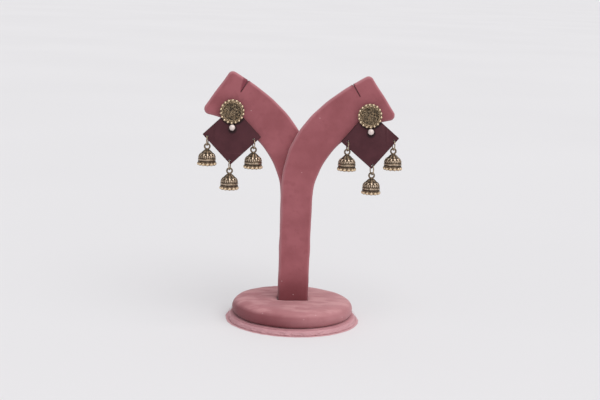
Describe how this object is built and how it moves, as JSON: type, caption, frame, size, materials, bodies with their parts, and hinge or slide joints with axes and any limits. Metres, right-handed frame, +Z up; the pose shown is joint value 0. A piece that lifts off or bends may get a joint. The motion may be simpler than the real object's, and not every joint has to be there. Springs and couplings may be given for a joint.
{
  "type": "pair of jhumka drop earrings on a y-shaped display stand",
  "caption": "Drop earrings with a maroon square, a cast round stud, a pearl and small bells on wire rings, hung on a Y-shaped pink velvet display stand with a round base.",
  "frame": {"origin": "centre of the base's underside", "axes": "+Z up, -Y towards the viewer, +X to the viewer's right along the arms' spread"},
  "size_m": [0.1218, 0.0784, 0.1487],
  "materials": {
    "pink_velvet": "matte",
    "maroon_paint": "matte",
    "antique_gold": "satin",
    "gold_wire": "polished",
    "nut_steel": "satin",
    "pearl": "gloss"
  },
  "bodies": {
    "root": {"base_disc": "pink_velvet", "base_pad": "pink_velvet", "left_arm_board": "pink_velvet", "right_arm_board": "pink_velvet", "left_plate": "maroon_paint", "left_stud": "antique_gold", "left_pearl": "pearl", "left_ear_nut": "nut_steel", "left_jump_ring_outer": "gold_wire", "left_jhumka_outer": "antique_gold", "left_jump_ring_inner": "gold_wire", "left_jhumka_inner": "antique_gold", "left_jump_ring_bottom": "gold_wire", "left_jhumka_bottom": "antique_gold", "right_plate": "maroon_paint", "right_stud": "antique_gold", "right_pearl": "pearl", "right_ear_nut": "nut_steel", "right_jump_ring_outer": "gold_wire", "right_jhumka_outer": "antique_gold", "right_jump_ring_inner": "gold_wire", "right_jhumka_inner": "antique_gold", "right_jump_ring_bottom": "gold_wire", "right_jhumka_bottom": "antique_gold"}
  },
  "joints": []
}
